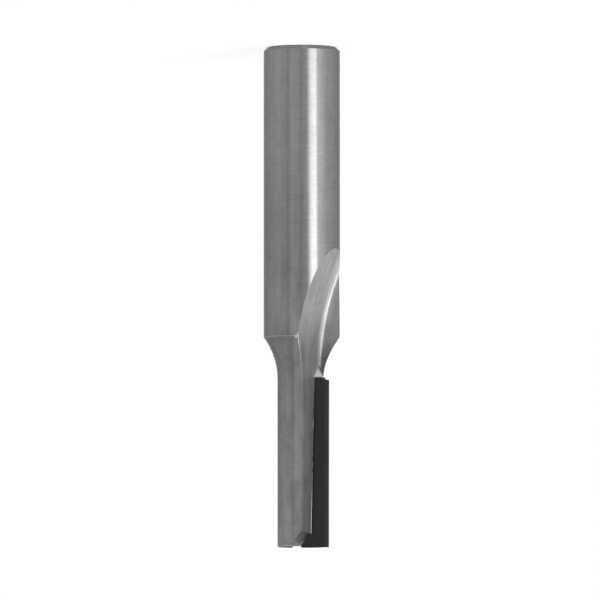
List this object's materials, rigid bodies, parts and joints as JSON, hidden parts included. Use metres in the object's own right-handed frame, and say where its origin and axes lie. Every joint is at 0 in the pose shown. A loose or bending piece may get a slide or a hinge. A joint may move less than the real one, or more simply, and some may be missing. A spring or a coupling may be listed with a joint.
{
  "type": "router bit",
  "caption": "Straight router bit: plain round shank, swept neck, and a fluted body that holds a brazed cutting tip for plunging and trimming wood.",
  "frame": {"origin": "centre of the flat end of the shank, on the bit's axis", "axes": "+Z along the axis from the shank's flat end to the cutting end; the cutting edge is on the -X side and its rake face looks to -Y"},
  "size_m": [0.0126, 0.0126, 0.083],
  "materials": {
    "ground_steel": "ground and lightly polished along the bit",
    "dark_carbide": "fine diamond-ground, near black",
    "silver_braze": "as flowed, bright silver"
  },
  "bodies": {
    "root": {"shank_body": "ground_steel", "cutting_tip": "dark_carbide", "braze_joint": "silver_braze"}
  },
  "joints": []
}
